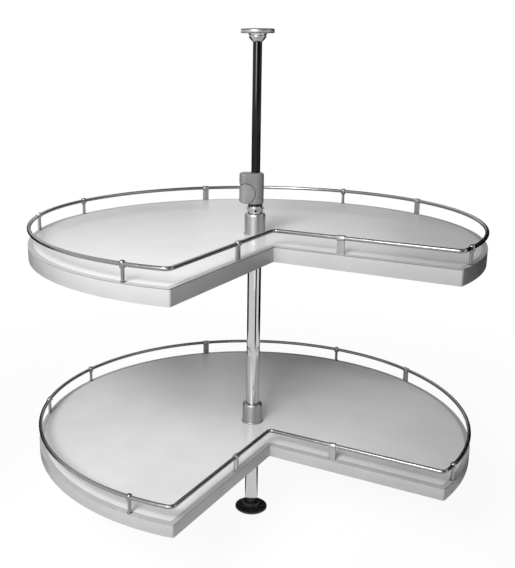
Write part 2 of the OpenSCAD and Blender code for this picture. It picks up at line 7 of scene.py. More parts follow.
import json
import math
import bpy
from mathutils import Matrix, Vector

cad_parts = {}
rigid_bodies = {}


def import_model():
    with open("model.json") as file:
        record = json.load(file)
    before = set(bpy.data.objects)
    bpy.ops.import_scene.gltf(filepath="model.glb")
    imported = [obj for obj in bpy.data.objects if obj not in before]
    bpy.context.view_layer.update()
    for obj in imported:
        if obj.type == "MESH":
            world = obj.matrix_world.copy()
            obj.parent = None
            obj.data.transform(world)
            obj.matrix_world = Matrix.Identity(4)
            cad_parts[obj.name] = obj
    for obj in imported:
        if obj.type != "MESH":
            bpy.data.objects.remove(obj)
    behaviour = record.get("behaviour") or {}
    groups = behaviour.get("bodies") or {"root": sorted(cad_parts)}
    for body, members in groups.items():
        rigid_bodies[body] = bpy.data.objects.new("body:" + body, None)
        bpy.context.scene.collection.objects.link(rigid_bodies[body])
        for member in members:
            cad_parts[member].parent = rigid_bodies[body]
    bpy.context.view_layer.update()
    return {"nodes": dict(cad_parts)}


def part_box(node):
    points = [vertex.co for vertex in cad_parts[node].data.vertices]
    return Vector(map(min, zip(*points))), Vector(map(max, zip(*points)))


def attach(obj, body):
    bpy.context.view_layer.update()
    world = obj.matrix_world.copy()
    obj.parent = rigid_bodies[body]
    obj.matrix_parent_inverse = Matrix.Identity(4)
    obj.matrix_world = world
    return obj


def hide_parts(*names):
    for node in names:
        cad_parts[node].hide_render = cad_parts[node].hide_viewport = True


bl_info = {
    "name": "Corner carousel",
    "version": (1, 0, 0),
    "blender": (4, 5, 0),
    "location": "3D View > Sidebar > Carousel",
    "description": "Models and finishes the pieces of a corner cabinet's carousel",
    "category": "Object",
}

import bpy
from mathutils import Matrix, Vector

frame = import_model()

MM = 0.001
SAME = MM / 100  # vertices nearer to each other than this are one
TRAYS = ("lower", "upper")


def cad_top(node):
    """Height of the top of a CAD node."""
    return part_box(node)[1].z


def cad_bottom(node):
    """Height of the underside of a CAD node."""
    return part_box(node)[0].z


def cad_reach(node):
    """How far a CAD node reaches from the pole's axis along X."""
    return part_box(node)[1].x


def cad_sizes(node):
    """Underside, top and reach of a CAD node."""
    return cad_bottom(node), cad_top(node), cad_reach(node)


def linear(code):
    """A colour written as an sRGB hex value, turned to the linear values that Blender works in."""
    shares = [int(code[i : i + 2], 16) / 255 for i in (1, 3, 5)]
    return tuple(s / 12.92 if s <= 0.04045 else ((s + 0.055) / 1.055) ** 2.4 for s in shares)


# ---- sizes and colours


def length(name, description, default):
    """A size in metres that a user may change."""
    return bpy.props.FloatProperty(
        name=name, description=description, default=default, precision=4, subtype="DISTANCE"
    )


def colour(name, description, code):
    """A colour that a user may change."""
    return bpy.props.FloatVectorProperty(
        name=name, description=description, default=linear(code), min=0, max=1, subtype="COLOR"
    )


class TraySizes(bpy.types.PropertyGroup):
    radius: length("Radius", "Radius of the round edge of both trays", 355 * MM)
    notch: length("Notch", "Distance from the pole's axis to the notch's edges", 68 * MM)
    corner: length("Corner", "Radius of the two outer corners of the notch", 3 * MM)
    vertex: length("Inner corner", "Radius of the notch's inner corner", 2 * MM)
    rim: length("Rim", "Width of the moulded rim", 8 * MM)
    lip: length("Lip", "Thickness of the rim's lip over the shadow groove", 0.6 * MM)
    groove: length("Groove", "Width of the shadow groove under the lip", 1.1 * MM)
    groove_depth: length("Groove depth", "Depth of the shadow groove", 3 * MM)
    edge_round: length("Edge round", "Radius of the rim's lower edge", 0.7 * MM)
    rail_height: length("Rail height", "Height of the rail's centre above a tray", 23.5 * MM)
    rail_inset: length("Rail inset", "Distance of the rail from the tray's edge", 3 * MM)
    rail_radius: length("Rail radius", "Half the thickness of the rail wire", 3 * MM)
    rail_bend: length("Rail bend", "Radius of the rail's two outer bends", 9 * MM)
    rail_inner_bend: length("Rail inner bend", "Radius of the rail's inner bend", 7 * MM)
    strip_width: length("Strip width", "Width of a flat post", 11 * MM)
    strip_sheet: length("Strip sheet", "Thickness of a flat post's strip", 1.2 * MM)
    pin_radius: length("Pin radius", "Radius of a round post", 2.5 * MM)
    notch_post: length("Notch post", "Distance of the notch's posts from the pole", 173 * MM)


class PoleSizes(bpy.types.PropertyGroup):
    tube: length("Tube", "Radius of the lower tube", cad_reach("pole_tube"))
    tube_wall: length("Tube wall", "Wall of the lower tube", 1.5 * MM)
    rod: length("Rod", "Radius of the inner rod", cad_reach("rod_tube"))
    rod_wall: length("Rod wall", "Wall of the inner rod", 1.5 * MM)
    hub: length("Hub", "Radius of a tray's hub", 16.5 * MM)
    hub_round: length("Hub round", "Radius of the hub's top edge", 5 * MM)
    foot: length("Foot", "Radius of the foot", cad_reach("foot_disc"))
    plate: length("Plate", "Radius of the top plate", cad_reach("top_plate"))
    edge: length("Edge", "Radius that deburring leaves on metal edges", 0.3 * MM)


class FinishColours(bpy.types.PropertyGroup):
    board: colour("Board", "Melamine face of the trays", "#E3E3E3")
    # the band is set darker than the board's pale colour: painted shade for the rim's upright
    # faces, which the light reaches less
    band: colour("Band", "Edge band and moulded rim", "#B8B8B8")
    chrome: colour("Chrome", "Bright chrome plate", "#C4C5C6")
    # chrome set well darker than real plate: painted dark reflection for the rails and round posts
    wire: colour("Wire", "Plated wire of the rails and round posts", "#929496")
    strip: colour("Strip", "Satin plate of the flat posts", "#B2B3B5")
    black_gloss: colour("Rod", "Black gloss of the inner rod", "#0D0D0E")
    hub: colour("Hub", "Satin silver of the hubs", "#A8A8AA")
    casting: colour("Casting", "Silver grey of the small zinc castings", "#A6A6A8")
    clamp: colour("Clamp", "Grey coat of the clamp's housing", "#767676")
    lever: colour("Lever", "Grey coat of the clamp's lever", "#808080")
    black: colour("Black plastic", "Moulded black plastic", "#131313")
    natural: colour("Natural plastic", "Uncoloured bearing plastic", "#E4E2D8")
    steel: colour("Steel", "Zinc plated screws", "#A9ABAD")
    oxide: colour("Black steel", "Blackened set screw", "#1C1C1D")
    rubber: colour("Rubber", "Black anti-slip pad", "#1B1B1B")


class StudioSettings(bpy.types.PropertyGroup):
    floor: colour("Floor", "Pale studio floor", "#F4F4F4")
    key_watts: bpy.props.FloatProperty(
        name="Key", description="Power of the main soft light", default=6.5, unit="POWER"
    )
    fill_watts: bpy.props.FloatProperty(
        name="Fill", description="Power of the soft light by the camera", default=2.6, unit="POWER"
    )
    ambient: bpy.props.FloatProperty(
        name="Ambient", description="Strength of the light from all around", default=0.35
    )


def tray_sizes():
    return bpy.context.scene.carousel_tray


def pole_sizes():
    return bpy.context.scene.carousel_pole


def colours():
    return bpy.context.scene.carousel_colours


# ---- modelling by hand


def clear_selection():
    """Leaves nothing selected or active, so that the next operator acts on its own piece alone."""
    for thing in bpy.context.selected_objects:
        thing.select_set(False)
    bpy.context.view_layer.objects.active = None


def pick(piece):
    """Selects one piece alone and makes it active."""
    clear_selection()
    piece.select_set(True)
    bpy.context.view_layer.objects.active = piece


def name_piece(name):
    """Names the object just made, puts its place in its mesh and opens it for editing."""
    piece = bpy.context.object
    piece.name = name
    piece.data.name = name
    bpy.ops.object.transform_apply(location=True, rotation=True, scale=True)
    bpy.ops.object.mode_set(mode="EDIT")
    bpy.ops.mesh.select_mode(type="VERT")
    bpy.ops.mesh.select_all(action="SELECT")
    return piece


def extrude(step):
    """Extrudes what is selected by one step."""
    bpy.ops.mesh.extrude_region_move(TRANSFORM_OT_translate={"value": step})


def draw_profile(name, points, closed=True):
    """One vertex, extruded from point to point as a profile is drawn by hand."""
    clear_selection()
    bpy.ops.mesh.primitive_plane_add(size=MM, location=points[0])
    piece = name_piece(name)
    bpy.ops.mesh.merge(type="CENTER")
    path = list(points) + ([points[0]] if closed else [])
    for here, there in zip(path, path[1:]):
        extrude(Vector(there) - Vector(here))
    bpy.ops.mesh.select_all(action="SELECT")
    if closed:
        bpy.ops.mesh.remove_doubles(threshold=SAME)
    return piece


def spin(degrees, steps, centre=(0, 0, 0)):
    """Spins what is selected counter-clockwise, seen from above."""
    # the operator itself turns the other way
    bpy.ops.mesh.spin(steps=steps, angle=math.radians(-degrees), center=centre, axis=(0, 0, 1))


def close_seams():
    """Merges the doubles of the open mesh and turns all its faces outwards."""
    bpy.ops.mesh.select_all(action="SELECT")
    bpy.ops.mesh.remove_doubles(threshold=SAME)
    bpy.ops.mesh.normals_make_consistent(inside=False)
    bpy.ops.object.mode_set(mode="OBJECT")


def modify(piece, kind, **settings):
    """Adds a modifier to the active piece, sets it and applies it."""
    bpy.ops.object.modifier_add(type=kind)
    modifier = piece.modifiers[-1]
    for setting, value in settings.items():
        setattr(modifier, setting, value)
    bpy.ops.object.modifier_apply(modifier=modifier.name)


def soften(piece, width, segments=2, angle=35):
    """Rounds the edges sharper than an angle and shades the faces below it smooth."""
    pick(piece)
    limit = math.radians(angle)
    if width:
        modify(
            piece, "BEVEL", width=width, segments=segments, limit_method="ANGLE", angle_limit=limit
        )
        bpy.ops.object.mode_set(mode="EDIT")
        close_seams()
    bpy.ops.object.shade_smooth_by_angle(angle=limit)


def arc(centre_r, centre_z, radius, start, end, count):
    """Points of a rounded edge in a turned profile, from one angle to the other."""
    angles = [math.radians(start + (end - start) * i / count) for i in range(count + 1)]
    return [(centre_r + radius * math.cos(a), centre_z + radius * math.sin(a)) for a in angles]


def turned(name, outline, sides=96):
    """A piece turned on a lathe, from an outline of radius and height.

    An outline that starts on the axis is left open there, and any other is closed.
    """
    piece = draw_profile(name, [(r, 0, z) for r, z in outline], closed=outline[0][0] > 0)
    spin(360, sides)
    close_seams()
    return piece


def cut(piece, cutter):
    """Takes the cutter's shape out of the piece and throws the cutter away."""
    pick(piece)
    modify(piece, "BOOLEAN", operation="DIFFERENCE", solver="EXACT", object=cutter)
    bpy.data.objects.remove(cutter)


BORE_SIDES = 32


def drill(piece, radius, place, depth, sink_radius=0, sink_depth=0):
    """Drills a hole down from a place, with a countersink where one is wanted."""
    mouth = max(radius, sink_radius)
    outline = [(0, depth), (mouth, depth), (mouth, 0)]
    if sink_radius:
        outline += [(radius, -sink_depth)]
    outline += [(radius, -depth), (0, -depth)]
    bit = turned("drill_bit", outline, sides=BORE_SIDES)
    bit.data.transform(Matrix.Translation(place))
    cut(piece, bit)


def repeated(name, shape, places):
    """One piece made of copies of a shape, each with its own mesh, at several places."""
    copies = []
    for place in places:
        pick(shape)
        bpy.ops.object.duplicate(linked=False)
        copies.append(bpy.context.object)
        copies[-1].data.transform(place)
    bpy.data.objects.remove(shape)
    piece = copies[0]
    pick(piece)
    for copy in copies[1:]:
        copy.select_set(True)
    bpy.ops.object.join()
    piece.name = name
    piece.data.name = name
    return piece


def cad_copy(node, name):
    """A copy of a CAD node with its loose triangles merged, ready to be worked on."""
    pick(frame["nodes"][node])
    bpy.ops.object.duplicate(linked=False)
    piece = bpy.context.object
    bpy.ops.object.parent_clear(type="CLEAR_KEEP_TRANSFORM")
    # the copy is a piece of its own, so the frame's marks on the node come off it
    for key in [k for k in piece.keys() if k.startswith("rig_")]:
        del piece[key]
    piece.name = name
    piece.data.name = name
    bpy.ops.mesh.customdata_custom_splitnormals_clear()
    bpy.ops.object.mode_set(mode="EDIT")
    bpy.ops.mesh.select_all(action="SELECT")
    bpy.ops.mesh.remove_doubles(threshold=SAME / 2)
    # the triangles of one flat face, which lie within a degree of each other, become that face
    bpy.ops.mesh.dissolve_limited(angle_limit=math.radians(1))
    bpy.ops.object.mode_set(mode="OBJECT")
    return piece


def fit(piece, body, slot, finish, *nodes):
    """Gives a piece its finish, rides it on its body and lets it stand for its CAD nodes."""
    piece.data.materials.clear()
    piece.data.materials.append(finish)
    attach(piece, body)
    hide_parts(*nodes)


# ---- finishes


def add_node(tree, kind, values=(), links=(), **options):
    """Adds a node with its options, the values on its sockets and the outputs that feed it."""
    node = tree.nodes.new(kind)
    for option, value in options.items():
        setattr(node, option, value)
    for socket, value in values:
        node.inputs[socket].default_value = value
    for socket, output in links:
        tree.links.new(output, node.inputs[socket])
    return node


def empty_tree(owner):
    """The node tree of a new material or world, with nothing in it."""
    owner.use_nodes = True
    owner.node_tree.nodes.clear()
    return owner.node_tree


def shades(base, change):
    """A colour made a share darker and the same share lighter, for the two ends of a pattern."""
    return [(*(min(1, c * (1 + share)) for c in base), 1) for share in (-change, change)]


# a grain of the same size along every axis
ALIKE = (1, 1, 1)
# a Mix node's colour sockets, by number, as its other sockets have the same names
MIX_ENDS, MIX_RESULT = (6, 7), 2


def surface(name, values, tone, gloss, relief):
    """A finish whose tone, gloss and relief each follow a pattern of a real grain size.

    A pattern is its texture node, its grain in metres, how much finer it runs along each axis,
    and what it moves: two colours, two roughnesses, or the height of its relief.
    """
    if name in bpy.data.materials:
        return bpy.data.materials[name]
    finish = bpy.data.materials.new(name)
    tree = empty_tree(finish)
    place = add_node(tree, "ShaderNodeTexCoord").outputs["Object"]
    spreads = []
    for kind, grain, finer, _ in (tone, gloss, relief):
        scale = [share / grain for share in finer]
        scaled = add_node(tree, "ShaderNodeMapping", [("Scale", scale)], [("Vector", place)])
        pattern = add_node(tree, kind, [("Scale", 1)], [("Vector", scaled.outputs["Vector"])])
        # the middle four tenths, where these textures lie, are spread over the whole range
        ends, links = [("From Min", 0.3), ("From Max", 0.7)], [("Value", pattern.outputs[0])]
        spread = add_node(tree, "ShaderNodeMapRange", ends, links, clamp=False)
        spreads.append(spread.outputs["Result"])
    stained = add_node(
        tree, "ShaderNodeMix", zip(MIX_ENDS, tone[-1]), [("Factor", spreads[0])], data_type="RGBA"
    )
    dulled = add_node(
        tree, "ShaderNodeMapRange", zip(("To Min", "To Max"), gloss[-1]), [("Value", spreads[1])]
    )
    raised = add_node(tree, "ShaderNodeBump", [("Distance", relief[-1])], [("Height", spreads[2])])
    links = [
        ("Base Color", stained.outputs[MIX_RESULT]),
        ("Roughness", dulled.outputs["Result"]),
        ("Normal", raised.outputs["Normal"]),
    ]
    shader = add_node(tree, "ShaderNodeBsdfPrincipled", values, links)
    add_node(tree, "ShaderNodeOutputMaterial", links=[("Surface", shader.outputs["BSDF"])])
    return finish


CLOUDS, CELLS, WAVES = "ShaderNodeTexNoise", "ShaderNodeTexVoronoi", "ShaderNodeTexWave"


def melamine_board():
    """Melamine film pressed on chipboard: a hard satin white with faint clouds and a fine pearl."""
    return surface(
        "Satin melamine on chipboard",
        [("IOR", 1.55)],
        tone=(CLOUDS, 60 * MM, ALIKE, shades(colours().board, 0.03)),
        gloss=(CLOUDS, 90 * MM, ALIKE, (0.3, 0.35)),
        # the real pearl is about 0.3 mm wide and is drawn ten times as coarse to show
        relief=(CLOUDS, 3 * MM, ALIKE, 0.003 * MM),
    )


def edge_band():
    """Extruded ABS edge band: satin plastic with faint draw lines along its length."""
    return surface(
        "Satin ABS edge band",
        [("IOR", 1.53)],
        # its tone starts from the darkened band colour, which is painted shade on the upright faces
        tone=(CLOUDS, 40 * MM, ALIKE, shades(colours().band, 0.03)),
        gloss=(CLOUDS, 9 * MM, ALIKE, (0.36, 0.48)),
        relief=(CLOUDS, 60 * MM, (1, 1, 90), 0.015 * MM),
    )


def bright_chrome():
    """Bright chrome over nickel on drawn steel: a cool mirror with a slight haze from handling."""
    return surface(
        "Bright chrome plate",
        [("Metallic", 1)],
        tone=(CLOUDS, 20 * MM, ALIKE, shades(colours().chrome, 0.02)),
        gloss=(CLOUDS, 12 * MM, ALIKE, (0.06, 0.13)),
        relief=(CLOUDS, 30 * MM, (40, 40, 1), 0.003 * MM),
    )


def plated_wire():
    """Chrome plate on bent wire: thinner and duller than the tube's, its colour darkened as painted
    dark reflection.
    """
    return surface(
        "Chrome plated wire",
        [("Metallic", 1)],
        tone=(CLOUDS, 15 * MM, ALIKE, shades(colours().wire, 0.05)),
        gloss=(CLOUDS, 8 * MM, ALIKE, (0.18, 0.28)),
        relief=(CLOUDS, 5 * MM, ALIKE, 0.002 * MM),
    )


def plated_strip():
    """Satin chrome on folded strip: soft and silvery, with the rolled steel's fine lines."""
    return surface(
        "Satin chrome strip",
        [("Metallic", 1)],
        tone=(CLOUDS, 12 * MM, ALIKE, shades(colours().strip, 0.03)),
        gloss=(CLOUDS, 10 * MM, ALIKE, (0.28, 0.38)),
        relief=(CLOUDS, 30 * MM, (40, 40, 1), 0.004 * MM),
    )


def black_gloss():
    """Black gloss coat on steel: nearly black, with sharp reflections and sliding marks."""
    return surface(
        "Black gloss coat",
        [("IOR", 1.5), ("Specular IOR Level", 0.2)],
        tone=(CLOUDS, 25 * MM, ALIKE, shades(colours().black_gloss, 0.15)),
        gloss=(CLOUDS, 40 * MM, (60, 60, 1), (0.1, 0.2)),
        relief=(CLOUDS, 40 * MM, (60, 60, 1), 0.002 * MM),
    )


def satin_silver():
    """Silver lacquer on turned steel: a soft metallic sheen with fine turning lines."""
    return surface(
        "Satin silver lacquer",
        [("Metallic", 1)],
        tone=(CLOUDS, 8 * MM, ALIKE, shades(colours().hub, 0.03)),
        gloss=(CLOUDS, 20 * MM, (1, 1, 60), (0.32, 0.42)),
        relief=(CLOUDS, 20 * MM, (1, 1, 60), 0.006 * MM),
    )


def zinc_casting():
    """Tumbled zinc die casting with a silver grey coat: matt, with a fine orange peel."""
    return surface(
        "Coated zinc casting",
        [("Metallic", 0.7)],
        tone=(CLOUDS, 6 * MM, ALIKE, shades(colours().casting, 0.04)),
        gloss=(CLOUDS, 3 * MM, ALIKE, (0.3, 0.42)),
        relief=(CLOUDS, 1.2 * MM, ALIKE, 0.015 * MM),
    )


def powder_coat(name, base):
    """Powder coat on a casting: satin grey with a fine orange peel and a slight mottle."""
    return surface(
        name,
        [("IOR", 1.5)],
        tone=(CLOUDS, 3 * MM, ALIKE, shades(base, 0.09)),
        gloss=(CLOUDS, 2 * MM, ALIKE, (0.36, 0.5)),
        relief=(CLOUDS, 0.9 * MM, ALIKE, 0.02 * MM),
    )


def black_plastic():
    """Glass filled nylon, moulded black: a low gloss with a fine spark-eroded texture."""
    return surface(
        "Moulded black nylon",
        [("IOR", 1.53)],
        tone=(CLOUDS, 6 * MM, ALIKE, shades(colours().black, 0.2)),
        gloss=(CLOUDS, 2.5 * MM, ALIKE, (0.3, 0.42)),
        relief=(CLOUDS, 0.8 * MM, ALIKE, 0.01 * MM),
    )


def natural_plastic():
    """Natural acetal: waxy off-white bearing plastic that lets a little light in."""
    return surface(
        "Natural acetal",
        [("IOR", 1.48), ("Subsurface Weight", 0.15), ("Subsurface Scale", MM)],
        tone=(CLOUDS, 5 * MM, ALIKE, shades(colours().natural, 0.03)),
        gloss=(CLOUDS, 2 * MM, ALIKE, (0.3, 0.42)),
        relief=(CLOUDS, 4 * MM, (1, 1, 20), 0.01 * MM),
    )


def zinc_plated_steel():
    """Zinc plated steel: a dull cool silver with a fine spangle."""
    return surface(
        "Zinc plated steel",
        [("Metallic", 1)],
        tone=(CELLS, 0.8 * MM, ALIKE, shades(colours().steel, 0.08)),
        gloss=(CLOUDS, 1.5 * MM, ALIKE, (0.25, 0.42)),
        relief=(CELLS, 0.8 * MM, ALIKE, 0.005 * MM),
    )


def black_oxide_steel():
    """Blackened steel: a hot oxide finish, oiled, which shows as soft black metal."""
    return surface(
        "Black oxide steel",
        [("Metallic", 1)],
        tone=(CLOUDS, 1 * MM, ALIKE, shades(colours().oxide, 0.2)),
        gloss=(CLOUDS, 1.5 * MM, ALIKE, (0.35, 0.5)),
        relief=(CLOUDS, 0.6 * MM, ALIKE, 0.005 * MM),
    )


def rubber_pad():
    """Ribbed nitrile rubber: black and matt, with a dusty bloom and fine moulded ribs."""
    return surface(
        "Anti-slip rubber",
        [("IOR", 1.52), ("Specular IOR Level", 0.3)],
        tone=(CLOUDS, 4 * MM, ALIKE, shades(colours().rubber, 0.25)),
        gloss=(CLOUDS, 3 * MM, ALIKE, (0.72, 0.88)),
        # a wave of scale 1 has about three ribs in its grain, so these are 2 mm apart
        relief=(WAVES, 6 * MM, ALIKE, 0.15 * MM),
    )


# how far moulding, folding, casting and deburring round the edges of each piece
STRIP_EDGE, PIN_EDGE, TRIM_EDGE = 0.18 * MM, 0.15 * MM, 0.12 * MM
FOOT_EDGE, BUSH_EDGE, STOP_RING_EDGE = 0.25 * MM, 0.2 * MM, 0.25 * MM
CLAMP_EDGE, CUP_EDGE = 0.35 * MM, 0.2 * MM


# ---- trays


def rail_middle(tray):
    """Height of the centre of a tray's rail."""
    return cad_top(f"{tray}_rim") + tray_sizes().rail_height


def around(reach, degrees, height):
    """A place at a distance from the pole's axis, in a direction counted from +X."""
    turn = math.radians(degrees)
    return reach * math.cos(turn), reach * math.sin(turn), height


def rail_corner(size):
    """Where the rail's outer bend is centred, and how far round it turns, in degrees."""
    inset = size.rail_inset + size.rail_bend
    x = size.notch - inset
    y = -math.sqrt((size.radius - inset) ** 2 - x**2)
    return x, y, -math.degrees(math.atan2(y, x))


def stand_at_bend(size, points):
    """Points of distance in from the edge and height, stood where the round rail starts."""
    degrees = rail_corner(size)[2] - 90
    return [around(size.radius - inset, degrees, z) for inset, z in points]


def run_round_rail(size, round_steps=240, bend_steps=14):
    """Sweeps the selected section once round a tray, back to where it started."""
    x, y, turn = rail_corner(size)
    inner = size.notch + size.rail_inner_bend - size.rail_inset
    spin(450 - 2 * turn, round_steps)
    spin(turn, bend_steps, centre=(x, y, 0))
    extrude((0, -inner - y, 0))
    spin(-90, bend_steps, centre=(inner, -inner, 0))
    extrude((-inner - y, 0, 0))
    spin(turn, bend_steps, centre=(-y, -x, 0))
    close_seams()


# turns the notch's middle, which points between +X and -Y, to -Y
NOTCH_TO_FRONT = Matrix.Rotation(math.radians(-45), 4, "Z")


def select_places(piece, chosen):
    """Selects the vertices of the open mesh that a test picks by their place."""
    bpy.ops.mesh.select_all(action="DESELECT")
    bpy.ops.object.mode_set(mode="OBJECT")
    for vertex in piece.data.vertices:
        vertex.select = chosen(vertex.co)
    bpy.ops.object.mode_set(mode="EDIT")


def run_round_rim(name, size, section, round_steps=124, corner_steps=6):
    """A rim swept round a tray from a section of distances in from the edge and heights.

    One half is made with the notch's middle turned to -Y, from the mitred corner where the
    round edge meets the notch, then mirrored and turned back into place.
    """
    mitre = []
    for inset, z in section:
        edge = size.notch - inset
        reach = math.sqrt((size.radius - inset) ** 2 - edge**2)
        mitre.append(NOTCH_TO_FRONT @ Vector((reach, -edge, z)))
    piece = draw_profile(name, mitre)
    bend = size.notch + size.vertex
    centre = NOTCH_TO_FRONT @ Vector((bend, -bend, 0))
    inwards = NOTCH_TO_FRONT @ Vector((-1, 0, 0))
    # along the notch to its inner corner, and half of the way round that
    extrude(inwards * (size.radius - bend))
    bpy.ops.mesh.select_all(action="SELECT")
    bpy.ops.mesh.bisect(plane_co=centre, plane_no=inwards, clear_outer=True)
    select_places(piece, lambda place: abs((place - centre).dot(inwards)) < SAME)
    spin(45, corner_steps, centre=centre)

    def on_mitre(place):
        return any((place - point).length < SAME for point in mitre)

    # round the tray to a little past the middle of its back, where it is cut
    past_middle = 148
    select_places(piece, on_mitre)
    spin(past_middle, round_steps)
    bpy.ops.mesh.select_all(action="SELECT")
    bpy.ops.mesh.remove_doubles(threshold=SAME)
    bpy.ops.mesh.bisect(plane_co=(0, 0, 0), plane_no=(1, 0, 0), clear_inner=True)
    select_places(piece, on_mitre)
    turn = math.pi / 2 - math.asin(size.notch / size.radius)
    bpy.ops.mesh.bevel(
        offset_type="ABSOLUTE",
        offset=size.corner * math.tan(turn / 2),
        segments=corner_steps,
        affect="EDGES",
        clamp_overlap=False,
    )
    bpy.ops.object.mode_set(mode="OBJECT")
    modify(piece, "MIRROR", merge_threshold=SAME)
    piece.data.transform(NOTCH_TO_FRONT.inverted())
    bpy.ops.object.mode_set(mode="EDIT")
    close_seams()
    return piece


def rim_section(size, top, bottom):
    """Section of the rim: flush with the board, with a thin lip over its shadow groove."""
    crisp, fine = 0.2 * MM, 0.15 * MM
    lip, ledge, edge = top - size.lip, top - size.lip - size.groove, size.edge_round
    inner = [(size.rim, bottom), (size.rim, top - fine), (size.rim - fine, top)]
    outer_lip = [(crisp, top), (0, top - crisp), (0, lip)]
    groove = [(size.groove_depth, lip), (size.groove_depth, ledge), (crisp, ledge)]
    band = [(0, ledge - crisp), (0, bottom + edge)]
    rounded = [(0.3 * edge, bottom + 0.3 * edge), (edge, bottom)]
    return inner + outer_lip + groove + band + rounded


class CAROUSEL_OT_tray_rims(bpy.types.Operator):
    """Sweeps the moulded rim with its shadow groove round both trays"""

    bl_idname = "carousel.tray_rims"
    bl_label = "Tray rims"

    def execute(self, context):
        size = tray_sizes()
        for tray in TRAYS:
            node = f"{tray}_rim"
            section = rim_section(size, cad_top(node), cad_bottom(node))
            piece = run_round_rim(f"{tray}_banded_rim", size, section)
            soften(piece, 0, angle=30)
            fit(piece, f"{tray}_tray", "rim_plastic", edge_band(), node)
        return {"FINISHED"}


WIRE_SIDES = 24


class CAROUSEL_OT_gallery_rails(bpy.types.Operator):
    """Bends the chrome rail of both trays from round wire"""

    bl_idname = "carousel.gallery_rails"
    bl_label = "Gallery rails"

    def execute(self, context):
        size = tray_sizes()
        end = 360 - 360 / WIRE_SIDES
        for tray in TRAYS:
            middle = rail_middle(tray)
            wire = arc(size.rail_inset, middle, size.rail_radius, 0, end, WIRE_SIDES - 1)
            piece = draw_profile(f"{tray}_rail_wire", stand_at_bend(size, wire))
            run_round_rail(size)
            soften(piece, 0, angle=60)
            fit(piece, f"{tray}_tray", "bright_chrome", plated_wire(), f"{tray}_rail")
        return {"FINISHED"}


def folded_post(size):
    """A flat post folded from strip: up one side, round the rail and down the other."""
    # how far its foot goes into the tray, its clearance round the wire, and the gap in the fold
    sunk, clearance, gap = 2 * MM, 0.02 * MM, 0.04 * MM
    fold_steps = 24
    foot = -size.rail_height - sunk
    bore = size.rail_radius + clearance
    outer = bore + size.strip_sheet
    reach = size.strip_sheet + gap / 2
    shoulder = math.degrees(math.asin(reach / outer))
    throat = math.degrees(math.asin(gap / bore))
    points = [(-reach, foot)]
    points += arc(0, 0, outer, 270 - shoulder, -90 + shoulder, fold_steps)
    points += [(reach, foot), (gap / 2, foot)]
    points += arc(0, 0, bore, -90 + throat, 270 - throat, fold_steps)
    points += [(-gap / 2, foot)]
    side = -size.strip_width / 2
    rail = size.radius - size.rail_inset
    piece = draw_profile("post", [(rail + x, side, z) for x, z in points])
    extrude((0, size.strip_width, 0))
    bpy.ops.mesh.edge_face_add()
    select_places(piece, lambda place: place.y < side + MM / 10)
    bpy.ops.mesh.edge_face_add()
    close_seams()
    soften(piece, STRIP_EDGE, angle=50)
    return piece


def turned_pin(size):
    """A round post with a collar on the tray and a bored head round the rail."""
    # how far its foot goes into the tray, the radii of its collar and head, and their bevel
    sunk, collar, head, bevel = 2 * MM, size.pin_radius + 1.2 * MM, 4.2 * MM, 0.5 * MM
    pin, foot = size.pin_radius, -size.rail_height
    outline = [(0, foot - sunk), (pin, foot - sunk), (pin, foot), (collar, foot)]
    outline += [(collar, foot + 0.9 * MM), (pin, foot + 1.6 * MM), (pin, -6.2 * MM)]
    outline += [(head - bevel, -5 * MM), (head, -4.2 * MM), (head, 3 * MM)]
    outline += [(head - bevel, 3.9 * MM), (2.6 * MM, 4.8 * MM), (0, 5 * MM)]
    piece = turned("pin", outline, sides=40)
    wire, past_head = size.rail_radius, 9 * MM
    bore = [(0, -past_head), (wire, -past_head), (wire, past_head), (0, past_head)]
    cutter = turned("rail_bore", bore, sides=WIRE_SIDES)
    cutter.data.transform(Matrix.Rotation(math.radians(90), 4, "X"))
    cut(piece, cutter)
    soften(piece, PIN_EDGE, angle=40)
    piece.data.transform(Matrix.Translation((size.radius - size.rail_inset, 0, 0)))
    return piece


def on_round_edge(degrees, height):
    """Takes a post from +X to another direction on the round edge, at the rail's height."""
    return Matrix.Translation((0, 0, height)) @ Matrix.Rotation(math.radians(degrees), 4, "Z")


def on_notch_edges(size, height):
    """Takes a post from +X to the two edges of the notch, which face +X and -Y."""
    inwards = size.notch - size.radius
    towards_x = Matrix.Translation((inwards, -size.notch_post, height))
    towards_y = Matrix.Translation((size.notch_post, -inwards, height))
    return [towards_x, towards_y @ Matrix.Rotation(math.radians(-90), 4, "Z")]


# where the posts stand on the round edge, in degrees from +X
STRIP_ANGLES = (62, 134, 205)
PIN_ANGLES = (-6, 89, 179, 270)


class CAROUSEL_OT_strip_posts(bpy.types.Operator):
    """Folds the flat posts that clip round the rails"""

    bl_idname = "carousel.strip_posts"
    bl_label = "Strip posts"

    def execute(self, context):
        size = tray_sizes()
        for tray in TRAYS:
            middle = rail_middle(tray)
            places = [on_round_edge(degrees, middle) for degrees in STRIP_ANGLES]
            places += on_notch_edges(size, middle)
            piece = repeated(f"{tray}_folded_posts", folded_post(size), places)
            fit(piece, f"{tray}_tray", "bright_chrome", plated_strip(), f"{tray}_strip_posts")
        return {"FINISHED"}


class CAROUSEL_OT_pin_posts(bpy.types.Operator):
    """Turns the round posts and bores their heads for the rails"""

    bl_idname = "carousel.pin_posts"
    bl_label = "Pin posts"

    def execute(self, context):
        size = tray_sizes()
        for tray in TRAYS:
            places = [on_round_edge(degrees, rail_middle(tray)) for degrees in PIN_ANGLES]
            piece = repeated(f"{tray}_turned_posts", turned_pin(size), places)
            fit(piece, f"{tray}_tray", "bright_chrome", plated_wire(), f"{tray}_pin_posts")
        return {"FINISHED"}


# ---- hubs and collars


